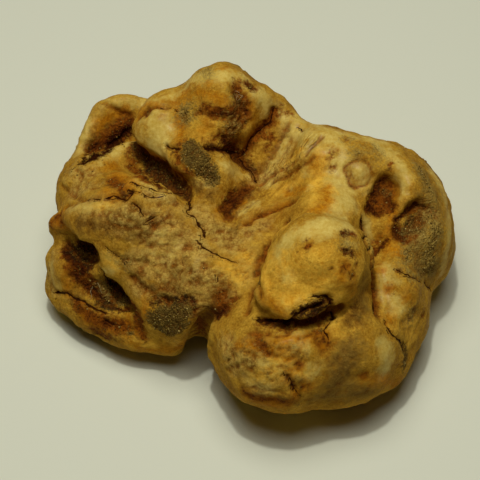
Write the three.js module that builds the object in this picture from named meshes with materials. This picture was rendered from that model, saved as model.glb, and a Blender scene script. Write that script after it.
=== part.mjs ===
// A whole white truffle, washed, as it lies on a table. A truffle grows as one solid body, so it is
// one closed mesh: swollen lobes that melt into each other, the folds pressed between them, and the
// hollows that soil was washed out of. Underneath it is pressed flat where it rests.
// Millimetres, +Z up. The origin is on the table, under the middle of the truffle's outline box.
import * as THREE from "three";
import { ImprovedNoise } from "three/addons/math/ImprovedNoise.js";

// The net that the skin is drawn with: the size of one cell, the two far corners of the space that
// it fills, and how often it is evened out.
const CELL = 1.58;
const NET_LOW = [-42, -42, -6];
const NET_HIGH = [42, 42, 46];
const EVENING_ROUNDS = 6;

// In each round a knot goes this share of the way to its neighbours' middle, and is brought back to
// the skin by no more than so much at once.
const EVENING_SHARE = 0.5;
const LARGEST_STEP = CELL / 3;

// The distance over which a slope is measured, and the least steepness that one is taken to have.
const SLOPE_STEP = 0.05;
const LEAST_STEEPNESS = 0.1;

// Unevenness of the skin: how far it swells, and how wide one swelling is.
const SWELLINGS = [
  { height: 0.5, width: 9 },
  { height: 0.3, width: 4 },
];

// Lobes. Each is an ellipsoid: its middle, its half sizes, how it is turned about X, Y and Z in
// degrees, and over what distance it melts into the others.
const LOBES = [
  { name: "core", at: [-1, -1, 12], half: [22, 17, 11], turn: [0, 0, 0], melt: 0 },
  { name: "sole", at: [0.5, 0.5, 8], half: [17, 14, 9.1], turn: [0, 0, 0], melt: 4 },
  { name: "crown", at: [-4.2, 18.2, 20], half: [7.7, 8.4, 13.9], turn: [0, 0, 0], melt: 3 },
  { name: "crown shoulder", at: [2.5, 15.6, 18.2], half: [6.6, 7.5, 12.2], turn: [0, 0, 0], melt: 3 },
  { name: "brow", at: [-14, 16, 21.5], half: [4.6, 5.5, 7.5], turn: [0, 0, 0], melt: 2 },
  { name: "brow bridge", at: [-10, 18.5, 18], half: [8, 6, 10.5], turn: [0, 0, 0], melt: 3 },
  { name: "cheek", at: [-8.5, 9.5, 21], half: [6.5, 6, 7.5], turn: [0, 0, 0], melt: 2.5 },
  { name: "jowl", at: [-3.5, 6.3, 20.3], half: [4.2, 4.2, 5.5], turn: [0, 0, 0], melt: 2 },
  { name: "left arm", at: [-20.3, 19.2, 12], half: [6, 8.4, 10], turn: [0, 0, -15], melt: 2 },
  { name: "arm rim", at: [-25, 19.8, 16], half: [2.4, 6.2, 4.8], turn: [0, 0, -20], melt: 2 },
  { name: "arm top", at: [-18.8, 24.1, 17.4], half: [6.8, 2.8, 3.9], turn: [0, 0, 0], melt: 2 },
  { name: "left elbow", at: [-25.5, 11, 12.3], half: [6, 6.5, 9], turn: [0, 0, -20], melt: 2 },
  { name: "table land", at: [-15.5, 2.2, 14], half: [15, 9.7, 12], turn: [0, 0, 0], melt: 2.5 },
  { name: "snout", at: [-30.5, 3.3, 14.5], half: [2, 1.7, 2], turn: [0, 0, 0], melt: 2 },
  { name: "left foot", at: [-20.4, -6, 5.4], half: [13.6, 6.6, 5.4], turn: [0, 0, -26], melt: 1.5 },
  { name: "foot crown", at: [-17.5, -5.2, 8.6], half: [9.5, 4.8, 4.6], turn: [0, 0, -24], melt: 2 },
  { name: "left heel", at: [-26.7, -0.3, 9], half: [5.6, 5.2, 6], turn: [0, 0, 0], melt: 2 },
  { name: "back ridge", at: [13.5, 10, 18], half: [14.5, 7, 10.3], turn: [0, 0, -17], melt: 4 },
  { name: "right flank", at: [23.5, 5.1, 12.9], half: [9.5, 12.6, 13], turn: [0, -3, 12], melt: 3 },
  { name: "saddle", at: [11.5, -1, 20.3], half: [6.5, 8, 7], turn: [0, 0, 0], melt: 3 },
  { name: "knob", at: [10.8, -10.5, 22.6], half: [8.3, 7.9, 10.8], turn: [15, 0, 0], melt: 1.2 },
  { name: "lip", at: [7.2, -14.9, 24.4], half: [6.6, 6, 3.2], turn: [0, 0, 12], melt: 2.5 },
  { name: "belly", at: [5.6, -16.7, 12.6], half: [10.8, 11.8, 10.6], turn: [0, 0, 0], melt: 2 },
  { name: "belly left", at: [2.6, -14.2, 9.6], half: [9, 11, 9.6], turn: [0, 0, 0], melt: 3 },
  { name: "belly right", at: [15, -16, 11], half: [9, 10.4, 11.2], turn: [0, 0, 0], melt: 3 },
  { name: "heel", at: [22.3, -8.4, 11.6], half: [5.6, 8.4, 10], turn: [0, 0, 0], melt: 1.5 },
  { name: "heel side", at: [22, -7.2, 7.8], half: [7.2, 9.2, 7.6], turn: [0, 0, 0], melt: 2 },
  { name: "heel tip", at: [20, -14, 7.8], half: [6.5, 8.4, 7.6], turn: [0, 0, 0], melt: 1.5 },
  { name: "rear bun", at: [15, 13.5, 8], half: [9.5, 8.5, 7.5], turn: [0, 0, -15], melt: 1.5 },
  { name: "rear knuckle", at: [0, 22, 9], half: [7.5, 6.5, 7.5], turn: [0, 0, 0], melt: 1.5 },
  { name: "rear elbow", at: [-15, 20, 7], half: [7.5, 6.5, 6.5], turn: [0, 0, 20], melt: 1.5 },
  { name: "side knuckle", at: [24.2, 6.8, 8.6], half: [9.2, 10.6, 8.4], turn: [0, 0, 8], melt: 2 },
];

// Folds and hollows, cut out of the lobes: a run of balls along a line, each with its middle and
// radius, and how softly the cut's rim rounds over.
const HOLLOWS = [
  {
    name: "valley",
    rim: 2,
    line: [
      [5.6, 15.6, 30, 3.2], [3.8, 12, 27.5, 4], [2.4, 8, 25.6, 3.8],
      [-0.5, 3.5, 24.5, 2.6], [-3, 0, 24, 1.8],
    ],
  },
  {
    name: "valley head",
    rim: 1.5,
    line: [[-1.6, 11, 25.3, 1.7], [1, 9.5, 23.8, 2.2]],
  },
  {
    name: "gorge under the cheek",
    rim: 1.2,
    line: [[-18.8, 14.5, 21, 1.8], [-16.9, 10, 22, 2.2], [-13.3, 6, 23.5, 2.3], [-9, 2, 24.3, 1.6]],
  },
  {
    name: "arm bowl",
    rim: 1.5,
    line: [[-22.8, 18.3, 20.7, 3.4], [-20.5, 19.8, 21, 3.6], [-17.5, 20.6, 22, 3.4]],
  },
  {
    name: "arm slit",
    rim: 1.2,
    line: [
      [-25.5, 15.6, 18.2, 1.5], [-22.8, 17, 17.4, 1.7],
      [-20, 19, 17, 2], [-17.5, 19.6, 18, 2],
    ],
  },
  {
    name: "elbow crease",
    rim: 2,
    line: [[-33, 6.8, 18.5, 1.6], [-27, 6, 22.6, 1.5], [-21, 6.5, 25.5, 1.7]],
  },
  {
    name: "cave over the foot",
    rim: 1.2,
    line: [[-32.5, 0.5, 14, 1.8], [-27.4, -1.2, 16.4, 2.1], [-24.6, -3.2, 16.6, 1.9]],
  },
  {
    name: "crease over the foot",
    rim: 1.2,
    line: [[-21.8, -6.4, 12.6, 1.3], [-20.3, -8, 11.4, 1.7], [-17.9, -9, 10.9, 1.5]],
  },
  {
    name: "cleft by the belly",
    rim: 1.2,
    line: [
      [-5.6, -15, 18.4, 1.4], [-7, -14.7, 13.5, 1.9], [-7.8, -14.4, 8, 2.1],
      [-7.9, -12.5, 2.5, 2.3], [-7.3, -8.8, -0.5, 2.2],
    ],
  },
  {
    name: "valley by the knob",
    rim: 1.5,
    line: [[19, 1, 26, 2], [20.2, -5, 23.2, 2.4], [20.4, -11, 21.5, 2], [21, -17, 19.5, 1.5]],
  },
  {
    name: "heel crease",
    rim: 1.5,
    line: [[24, -6.5, 23.5, 1.6], [30, -9, 17.5, 1.6]],
  },
  {
    name: "upper pit",
    rim: 1.2,
    line: [[20.6, 0.4, 24.2, 2.4], [21.6, 3.3, 24.8, 2.4]],
  },
  {
    name: "lower pit",
    rim: 1.2,
    line: [[23.8, -3.2, 22.8, 2], [26.3, -0.6, 23, 2.5]],
  },
  {
    name: "under the lip",
    rim: 1.2,
    line: [
      [1.5, -20.3, 22, 0.8], [5.9, -20.8, 22.6, 0.9], [9.1, -19.5, 22.6, 1.3],
      [11.6, -18.3, 22.6, 1.6], [13.4, -17.4, 23, 1.3],
    ],
  },
  {
    name: "crown fissure",
    rim: 1.2,
    line: [[-1.4, 18, 33.8, 1.6], [-0.6, 15, 31.8, 1.6], [-0.4, 12.6, 29.2, 1.3]],
  },
  {
    name: "fold behind the crown",
    rim: 1.5,
    line: [[4, 24.5, 27, 1.8], [6.8, 24, 17, 2.2], [8, 24.5, 7, 2.4]],
  },
  {
    name: "fold behind the arm",
    rim: 1.5,
    line: [[-15.5, 27.5, 21, 2], [-14, 28.3, 13, 2.2], [-8.5, 28, 4, 2.2]],
  },
  {
    name: "rear crease",
    rim: 1.5,
    line: [[-10, 28, 16, 1.6], [-2, 29.5, 17, 1.6], [5, 26, 17, 1.6]],
  },
  {
    name: "crease over the rear bun",
    rim: 1.5,
    line: [[9, 22, 14, 1.8], [18, 20.5, 15, 2], [29, 16, 13, 2]],
  },
  {
    name: "side fold",
    rim: 1.5,
    line: [[31, -6, 17, 1.8], [32.5, -6, 10, 1.8], [30, -8, 3, 2]],
  },
  {
    name: "side crease",
    rim: 1.5,
    line: [[34, -3, 15.8, 1.3], [34.4, 4, 16.4, 1.3], [33, 10, 15.6, 1.3]],
  },
  {
    name: "rear pit",
    rim: 1.2,
    line: [[17, 21.8, 7, 2], [20, 20.8, 6, 1.7]],
  },
  {
    name: "fold under the elbow",
    rim: 1.5,
    line: [[-32, 9, 8, 2], [-28, 14, 5, 2], [-23, 19, 4, 2]],
  },
  {
    name: "underside fold",
    rim: 1.5,
    line: [[-18, 4, 0, 2.4], [-14, -4, -1, 2.4], [-8, -12, 0, 2.4]],
  },
  {
    name: "underside crease",
    rim: 1.5,
    line: [[12, -6, -1, 2], [19, -4, 0, 2.2], [27, -5, 2, 2.2]],
  },
];

const radians = THREE.MathUtils.degToRad;
const noise = new ImprovedNoise();

// Joins two distances with a fillet of the given width.
function meltTogether(a, b, width) {
  const overlap = Math.max(width - Math.abs(a - b), 0) / Math.max(width, 1e-6);
  return Math.min(a, b) - (overlap * overlap * width) / 4;
}

function lobeShape({ at, half, turn, melt }) {
  const frame = new THREE.Matrix4()
    .makeRotationFromEuler(new THREE.Euler(...turn.map(radians), "ZYX"))
    .setPosition(...at)
    .invert();
  const size = new THREE.Vector3(...half);
  const local = new THREE.Vector3();
  const scaled = new THREE.Vector3();
  const distance = (p) => {
    local.copy(p).applyMatrix4(frame);
    scaled.copy(local).divide(size);
    const reach = scaled.length();
    const slope = scaled.divide(size).length();
    return slope < 1e-9 ? -Math.min(...half) : (reach * (reach - 1)) / slope;
  };
  return { distance, melt };
}

function hollowShape({ line, rim }) {
  const points = line.map(([x, y, z]) => new THREE.Vector3(x, y, z));
  const radii = line.map((ball) => ball[3]);
  const along = new THREE.Vector3();
  const away = new THREE.Vector3();
  const distance = (p) => {
    let nearest = Infinity;
    for (let i = 0; i < points.length; i++) {
      const j = Math.min(i + 1, points.length - 1);
      along.subVectors(points[j], points[i]);
      away.subVectors(p, points[i]);
      const t = THREE.MathUtils.clamp(away.dot(along) / Math.max(along.lengthSq(), 1e-9), 0, 1);
      const radius = THREE.MathUtils.lerp(radii[i], radii[j], t);
      nearest = Math.min(nearest, away.addScaledVector(along, -t).length() - radius);
    }
    return nearest;
  };
  return { distance, rim };
}

const lobes = LOBES.map(lobeShape);
const hollows = HOLLOWS.map(hollowShape);

// How far a point is outside the skin, negative inside.
function outsideSkin(p) {
  let d = Infinity;
  for (const lobe of lobes) d = meltTogether(d, lobe.distance(p), lobe.melt);
  for (const hollow of hollows) d = -meltTogether(-d, hollow.distance(p), hollow.rim);
  for (const { height, width } of SWELLINGS)
    d -= height * noise.noise(p.x / width, p.y / width, p.z / width);
  return d;
}

// The direction straight out of the skin, with the distance's own slope as its length.
function slopeAt(p) {
  const step = SLOPE_STEP;
  const q = new THREE.Vector3();
  return new THREE.Vector3(
    outsideSkin(q.set(p.x + step, p.y, p.z)) - outsideSkin(q.set(p.x - step, p.y, p.z)),
    outsideSkin(q.set(p.x, p.y + step, p.z)) - outsideSkin(q.set(p.x, p.y - step, p.z)),
    outsideSkin(q.set(p.x, p.y, p.z + step)) - outsideSkin(q.set(p.x, p.y, p.z - step)),
  ).divideScalar(2 * step);
}

// The corners of a cell, and for each corner the ones it shares an edge with.
const CORNERS = [0, 1, 2, 3, 4, 5, 6, 7].map((c) => [c & 1, (c >> 1) & 1, (c >> 2) & 1]);
const BESIDE = CORNERS.map((_, c) => [c ^ 1, c ^ 2, c ^ 4]);

// The four cells round an edge, in order: how many cells back each is along the two other axes.
const RING = [[1, 1], [0, 1], [0, 0], [1, 0]];

// Numbers the groups of touching corners that lie inside the body; a corner outside has number -1.
function insideGroups(v) {
  const group = v.map(() => -1);
  let count = 0;
  const spread = (c) => {
    group[c] = count;
    for (const e of BESIDE[c]) if (v[e] < 0 && group[e] < 0) spread(e);
  };
  for (let c = 0; c < 8; c++)
    if (v[c] < 0 && group[c] < 0) {
      spread(c);
      count++;
    }
  return { group, count };
}

// Draws a net over the surface where the distance is nought: a knot for each group of inside corners
// in each cell that the surface passes through, and one square mesh round each edge that it crosses.
function netOver(distance, low, high, cell) {
  const count = low.map((v, i) => Math.ceil((high[i] - v) / cell) + 1);
  const stride = [1, count[0], count[0] * count[1]];
  const p = new THREE.Vector3();
  const at = (i, j, k) => p.set(low[0] + i * cell, low[1] + j * cell, low[2] + k * cell);
  const values = new Float32Array(count[0] * count[1] * count[2]);
  for (let k = 0, n = 0; k < count[2]; k++)
    for (let j = 0; j < count[1]; j++)
      for (let i = 0; i < count[0]; i++, n++) values[n] = distance(at(i, j, k)) || 1e-6;

  const knotOf = new Int32Array(values.length * 8).fill(-1);
  const knots = [];
  for (let k = 0; k < count[2] - 1; k++)
    for (let j = 0; j < count[1] - 1; j++)
      for (let i = 0; i < count[0] - 1; i++) {
        const n = i + j * stride[1] + k * stride[2];
        const v = CORNERS.map(([a, b, c]) => values[n + a + b * stride[1] + c * stride[2]]);
        const groups = insideGroups(v);
        for (let g = 0; g < groups.count; g++) {
          const mean = new THREE.Vector3();
          let crossings = 0;
          for (let c = 0; c < 8; c++) {
            if (groups.group[c] !== g) continue;
            for (const e of BESIDE[c]) {
              if (v[e] < 0) continue;
              const share = v[c] / (v[c] - v[e]);
              CORNERS[c].forEach((x, a) => {
                mean.setComponent(a, mean.getComponent(a) + x + share * (CORNERS[e][a] - x));
              });
              crossings++;
            }
          }
          if (!crossings) continue;
          mean.divideScalar(crossings);
          for (let c = 0; c < 8; c++) if (groups.group[c] === g) knotOf[n * 8 + c] = knots.length;
          knots.push(at(i + mean.x, j + mean.y, k + mean.z).clone());
        }
      }

  const faces = [];
  for (let k = 1; k < count[2] - 1; k++)
    for (let j = 1; j < count[1] - 1; j++)
      for (let i = 1; i < count[0] - 1; i++) {
        const n = i + j * stride[1] + k * stride[2];
        for (let axis = 0; axis < 3; axis++) {
          const here = values[n];
          const there = values[n + stride[axis]];
          if (here < 0 === there < 0) continue;
          const u = stride[(axis + 1) % 3];
          const w = stride[(axis + 2) % 3];
          const inner = here < 0 ? 0 : 1 << axis;
          const ring = RING.map(([a, b]) => {
            const corner = (a << (axis + 1) % 3) | (b << (axis + 2) % 3) | inner;
            return knotOf[(n - a * u - b * w) * 8 + corner];
          });
          if (here > 0) ring.reverse();
          faces.push(ring);
        }
      }
  return { knots, faces };
}

// Keeps the outer skin only: where lobes enclose a pocket between them the body is solid.
function outerSkin({ knots, faces }) {
  const leader = knots.map((_, i) => i);
  const lead = (i) => {
    while (leader[i] !== i) i = leader[i] = leader[leader[i]];
    return i;
  };
  for (const face of faces) for (const knot of face) leader[lead(knot)] = lead(face[0]);
  const size = new Map();
  knots.forEach((_, i) => size.set(lead(i), (size.get(lead(i)) ?? 0) + 1));
  const largest = [...size].reduce((best, entry) => (entry[1] > best[1] ? entry : best))[0];
  const place = new Map();
  const kept = knots.filter((_, i) => lead(i) === largest && place.set(i, place.size));
  const keptFaces = faces.filter((face) => lead(face[0]) === largest);
  return { knots: kept, faces: keptFaces.map((face) => face.map((i) => place.get(i))) };
}

// Cuts each four-sided mesh of the net along its shorter diagonal.
function trianglesOf({ knots, faces }) {
  const triangles = [];
  for (const [a, b, c, d] of faces) {
    const straight = knots[a].distanceTo(knots[c]) <= knots[b].distanceTo(knots[d]);
    if (straight) triangles.push([a, b, c], [a, c, d]);
    else triangles.push([a, b, d], [b, c, d]);
  }
  return triangles;
}

// Evens the net out: each knot slides along the skin towards the middle of its neighbours, and any
// gap left between it and the skin is taken up.
function evenOut({ knots, faces }, rounds) {
  const neighbours = knots.map(() => new Set());
  for (const face of faces)
    face.forEach((a, i) => {
      const b = face[(i + 1) % face.length];
      neighbours[a].add(b);
      neighbours[b].add(a);
    });
  for (let round = 0; round < rounds; round++) {
    const middles = knots.map((_, i) => {
      const sum = new THREE.Vector3();
      neighbours[i].forEach((n) => sum.add(knots[n]));
      return sum.divideScalar(neighbours[i].size);
    });
    knots.forEach((knot, i) => {
      const slope = slopeAt(knot);
      const steep = Math.max(slope.lengthSq(), LEAST_STEEPNESS);
      const move = middles[i].sub(knot).multiplyScalar(EVENING_SHARE);
      const gap = THREE.MathUtils.clamp(outsideSkin(knot) / steep, -LARGEST_STEP, LARGEST_STEP);
      knot.add(move).addScaledVector(slope, -move.dot(slope) / steep - gap);
    });
  }
}

function truffleGeometry() {
  const net = outerSkin(netOver(outsideSkin, NET_LOW, NET_HIGH, CELL));
  evenOut(net, EVENING_ROUNDS);
  net.knots.forEach((knot) => (knot.z = Math.max(knot.z, 0)));
  const geometry = new THREE.BufferGeometry().setFromPoints(net.knots);
  geometry.setIndex(trianglesOf(net).flat());
  geometry.computeVertexNormals();
  geometry.computeBoundingBox();
  const middle = geometry.boundingBox.getCenter(new THREE.Vector3());
  return geometry.translate(-middle.x, -middle.y, 0);
}

const skin = new THREE.MeshStandardMaterial({ color: 0xc39a52, roughness: 0.7, metalness: 0 });
const truffle = new THREE.Mesh(truffleGeometry(), skin);
truffle.name = "truffle";

const group = new THREE.Group();
group.add(truffle);
export default group;
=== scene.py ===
# The looks of a whole white truffle: its finely wrinkled skin with cracks, pits and stains, with painted
# shade in its creases and hollows and painted highlights on its ridges and tops, the soil left in its
# folds, loose grains and a few fine hairs, on a plain pale floor.
# Sizes are in millimetres where a name or comment says so, and Blender's own objects are in metres.
import math

import bpy
import numpy as np
from mathutils import Matrix, Vector
from mathutils.bvhtree import BVHTree


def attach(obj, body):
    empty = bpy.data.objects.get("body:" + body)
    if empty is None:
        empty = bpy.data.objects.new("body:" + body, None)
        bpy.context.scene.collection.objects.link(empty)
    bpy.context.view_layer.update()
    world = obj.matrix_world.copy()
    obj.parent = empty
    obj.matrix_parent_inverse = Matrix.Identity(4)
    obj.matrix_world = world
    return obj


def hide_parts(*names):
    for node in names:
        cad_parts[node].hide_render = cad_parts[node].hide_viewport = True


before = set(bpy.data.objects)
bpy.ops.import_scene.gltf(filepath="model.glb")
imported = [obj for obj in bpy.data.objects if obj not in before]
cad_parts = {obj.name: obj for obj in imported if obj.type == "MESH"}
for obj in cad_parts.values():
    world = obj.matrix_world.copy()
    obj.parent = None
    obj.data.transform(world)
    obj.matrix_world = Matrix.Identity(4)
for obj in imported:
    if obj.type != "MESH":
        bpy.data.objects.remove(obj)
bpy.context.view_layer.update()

MM = 0.001

# The camera looks along +Y and down at the truffle. Lengths in millimetres, angles in degrees.
CAMERA_ELEVATION = 55
CAMERA_DISTANCE = 300
CAMERA_TARGET = Vector((-1.5, -0.22, 15.6))
PICTURE_WIDTH = 75.95
PICTURE_PIXELS = 480
SENSOR_WIDTH = 36

# The skin: the size of one facet in millimetres, how often the skin is smoothed, and how often a
# copy is, to find its broad hollows and its fine creases.
SKIN_FACET = 0.38
SMOOTHING_ROUNDS = 6
SURROUNDINGS_ROUNDS = 40
FINE_ROUNDS = 6

elevation = math.radians(CAMERA_ELEVATION)
camera_right = Vector((1, 0, 0))
camera_up = Vector((0, math.sin(elevation), math.cos(elevation)))
camera_ahead = Vector((0, math.cos(elevation), -math.sin(elevation)))
camera_eye = CAMERA_TARGET - camera_ahead * CAMERA_DISTANCE
MM_PER_PIXEL = PICTURE_WIDTH / PICTURE_PIXELS


# Areas of the skin, in runs. Each run is a line of round spots that melt into one band: across and
# down in the photograph, and the spot's radius, all in its pixels. The dots stay apart instead.

# Pale skin, and painted highlights where the tops, ridges and rims catch the light.
CREAM = {
    "crown top": [(186, 82, 4), (203, 76, 9), (224, 74, 11), (243, 80, 8)],
    "crown right": [(256, 92, 6), (262, 98, 8), (268, 112, 6)],
    "brow": [(152, 120, 7), (163, 131, 13), (155, 145, 12), (166, 158, 6)],
    "brow left": [(140, 124, 4), (143, 136, 5)],
    "brow top": [(156, 112, 4), (168, 114, 4)],
    "arm top": [(110, 99, 3), (124, 101, 4), (140, 102, 5), (160, 99, 4)],
    "arm rim": [(88, 116, 4), (84, 128, 6), (82, 142, 5), (78, 154, 4)],
    "arm ledge": [(96, 158, 4), (110, 154, 5), (122, 148, 5), (128, 143, 3)],
    "lobe lip": [(70, 209, 3), (84, 206, 5), (98, 205, 4), (112, 208, 3)],
    "strata": [(134, 180, 1.5), (146, 184, 2), (158, 192, 2)],
    "back ridge": [(288, 125, 6), (302, 135, 9), (325, 136, 10), (345, 148, 6), (336, 178, 14)],
    "back ridge front": [(336, 178, 14), (345, 200, 14), (335, 214, 10)],
    "scar": [(357, 170, 8), (364, 184, 7)],
    "flank top": [(376, 148, 5), (388, 152, 8), (398, 162, 7)],
    "flank": [(404, 176, 7), (402, 192, 6)],
    "valley edge": [(364, 222, 4), (368, 234, 3.5), (370, 246, 2)],
    "knob top": [(296, 232, 10), (325, 226, 15), (345, 222, 12), (352, 232, 6)],
    "knob left": [(290, 240, 10), (276, 250, 6), (290, 276, 6)],
    "knob lip": [(290, 300, 8), (310, 296, 6)],
    "heel": [(386, 272, 6), (390, 282, 6), (383, 294, 5), (392, 303, 9), (399, 308, 6)],
    "heel band": [(383, 345, 8), (388, 360, 8), (383, 374, 6)],
    "yellow patch": [(106, 257, 4), (114, 264, 7), (107, 271, 3)],
    "foot left": [(50, 262, 4), (51, 276, 5), (56, 286, 3)],
    "belly face": [(292, 344, 9), (304, 344, 6)],
    "belly flakes": [(264, 366, 5), (282, 362, 4), (308, 376, 5), (314, 368, 4)],
    "belly flakes low": [(248, 380, 4), (266, 386, 5)],
    "cheek lip": [(196, 182, 3), (212, 184, 3)],
    "jowl": [(224, 164, 4), (236, 172, 5), (248, 177, 3)],
    "valley slope": [(284, 112, 5), (290, 132, 5), (280, 150, 4), (268, 178, 4)],
    "fold lip": [(252, 205, 5), (240, 212, 5)],
    "knob spot": [(349, 243, 4), (354, 244, 3)],
    "flank rim": [(432, 170, 4), (444, 192, 4), (449, 216, 4), (449, 246, 4), (441, 274, 4)],
    "ridge rim": [(262, 96, 5), (278, 108, 4), (298, 118, 5), (322, 128, 6), (352, 136, 6), (384, 143, 6)],
    "crown left": [(150, 96, 4), (170, 88, 4), (190, 76, 4)],
    "back ridge wide": [(302, 146, 6), (330, 154, 7), (346, 190, 9)],
    "dots": [
        (300, 150, 5), (286, 166, 5), (270, 184, 5), (290, 190, 4), (306, 172, 4), (312, 186, 4),
        (160, 236, 6), (178, 246, 6), (168, 256, 5), (200, 264, 4), (150, 250, 4),
    ],
}

TAN = {
    "plateau left": [(84, 206, 8), (110, 212, 14), (140, 224, 18), (170, 236, 22), (196, 250, 18)],
    "plateau front": [(140, 262, 14), (165, 268, 20), (200, 282, 18), (226, 284, 14)],
    "plateau right": [(196, 212, 12), (222, 238, 14), (246, 252, 10), (242, 280, 8)],
    "plateau edge": [(135, 285, 8), (160, 294, 7), (185, 294, 7), (205, 305, 8)],
    "valley slope": [(290, 132, 6), (284, 160, 9), (262, 180, 8)],
    "valley slope low": [(262, 222, 9), (246, 235, 8)],
    "cheek side": [(150, 196, 7), (170, 202, 7)],
    "arm edge": [(100, 108, 3), (86, 130, 6), (80, 152, 4)],
    "left lobe": [(70, 172, 9), (88, 174, 9), (74, 192, 8), (92, 186, 6)],
    "foot side": [(52, 255, 6), (48, 272, 6), (52, 288, 5)],
    "belly left": [(225, 345, 10), (232, 365, 12), (256, 356, 12), (286, 368, 12), (262, 386, 9)],
}

# Golden skin, and painted light that brightens the steep sides of the knob, the heel and the foot's rim.
GOLD = {
    "knob": [(268, 256, 9), (264, 280, 9), (276, 300, 9), (300, 292, 14), (322, 284, 12)],
    "knob middle": [(284, 262, 9), (306, 262, 12), (330, 258, 12), (346, 270, 10)],
    "knob low": [(338, 296, 8), (350, 310, 5)],
    "ridge": [(326, 190, 8), (312, 212, 7), (320, 160, 5)],
    "plateau right": [(246, 256, 8), (238, 278, 8), (222, 262, 6)],
    "belly": [(276, 360, 6), (300, 372, 5), (258, 376, 5)],
    "yellow patch": [(106, 258, 4), (114, 264, 6)],
    "foot rim": [(128, 340, 4), (150, 346, 6), (176, 347, 6), (192, 342, 4)],
    "slope": [(300, 150, 3), (284, 166, 3)],
    "slope low": [(296, 182, 4), (278, 194, 3)],
    "heel right": [(408, 322, 5), (416, 318, 6), (412, 332, 6)],
    "lip foot": [(340, 310, 8), (336, 330, 6), (350, 330, 5)],
    "plateau top": [(100, 206, 3), (114, 207, 3)],
    "dots": [(207, 127, 11), (172, 152, 3)],
}

# Soft brown stains, brown in the arm's bowl, and painted shade on the knob's right side.
UMBER = {
    "plateau left": [(82, 224, 8), (104, 226, 9), (128, 230, 9), (148, 234, 5)],
    "plateau front": [(120, 256, 3), (132, 270, 4), (146, 288, 4), (176, 286, 3)],
    "fold side": [(242, 226, 4), (232, 232, 3), (214, 228, 3)],
    "arm bowl": [(92, 148, 5), (104, 134, 8), (122, 122, 8)],
    "elbow": [(110, 180, 7), (122, 190, 6)],
    "snout": [(52, 222, 8), (62, 218, 7)],
    "foot": [(72, 296, 7), (92, 322, 9), (120, 334, 7)],
    "cleft": [(222, 290, 9), (214, 310, 6), (200, 322, 6)],
    "belly side": [(244, 346, 6), (258, 346, 8), (300, 352, 4)],
    "belly rim": [(246, 392, 6), (270, 402, 6), (296, 400, 5)],
    # Painted shade on the knob's right side.
    "knob side": [(356, 300, 5), (350, 322, 6)],
    "notch": [(246, 196, 9), (232, 210, 7), (252, 184, 6)],
    "cheek": [(192, 184, 3), (212, 196, 4)],
    "plateau top": [(110, 218, 8), (134, 216, 6), (150, 224, 6)],
    "plateau low": [(168, 262, 4), (186, 272, 5), (208, 280, 4)],
    "dots": [(270, 372, 3), (286, 367, 3), (300, 382, 3), (250, 368, 3), (262, 385, 3), (292, 356, 2)],
}

ORANGE = {
    "elbow": [(112, 168, 8), (120, 180, 9), (132, 190, 6)],
    "elbow low": [(104, 190, 5), (124, 196, 5)],
    "crown blush": [(184, 100, 3), (200, 92, 4), (214, 96, 4), (224, 102, 5)],
    "brow edge": [(176, 104, 3), (181, 128, 4), (180, 140, 4)],
    "brow halo": [(138, 116, 3), (146, 104, 3), (158, 104, 2)],
    "fissure side": [(244, 104, 7), (252, 118, 3)],
    "back ridge patch": [(326, 188, 5), (328, 200, 6), (318, 210, 5)],
    "back ridge blush": [(318, 158, 5), (316, 166, 4)],
    "slope blush": [(304, 188, 4), (288, 194, 4)],
    # Painted shadow under the fold's lip.
    "slope fold": [(290, 202, 3), (272, 210, 3), (258, 217, 3), (246, 224, 3)],
    "arm bowl": [(100, 126, 6), (110, 116, 6), (126, 112, 5)],
    "knob left foot": [(262, 296, 5), (272, 306, 6), (284, 314, 4)],
    "knob middle": [(346, 268, 7), (340, 280, 5)],
    "knob side": [(352, 284, 6), (352, 296, 5)],
    "snout": [(62, 212, 7), (52, 222, 7), (66, 226, 5)],
    "cave side": [(72, 262, 6), (68, 278, 5), (66, 292, 3)],
    "foot rim": [(128, 342, 4), (146, 350, 5), (168, 350, 6), (190, 343, 4)],
    "foot face": [(80, 312, 6), (100, 330, 5), (130, 324, 7), (140, 332, 6)],
    "foot patch rim": [(146, 302, 4), (146, 316, 3)],
    "belly rim": [(246, 396, 6), (262, 402, 7), (284, 405, 7), (297, 396, 5), (308, 386, 4)],
    "belly side": [(322, 345, 7), (326, 335, 5), (240, 346, 4)],
    "belly blush": [(250, 346, 6), (300, 364, 4), (288, 378, 5)],
    "heel low": [(376, 382, 5), (366, 378, 5), (400, 384, 4)],
    "pit side": [(368, 205, 4), (395, 190, 4), (388, 248, 7), (404, 252, 5)],
    "notch side": [(222, 212, 5), (240, 200, 4)],
    "dots": [
        (207, 127, 6), (208, 86, 3), (224, 68, 2), (246, 74, 2), (186, 92, 3), (388, 290, 4),
        (380, 270, 3), (390, 320, 6), (408, 296, 5),
    ],
}

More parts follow.
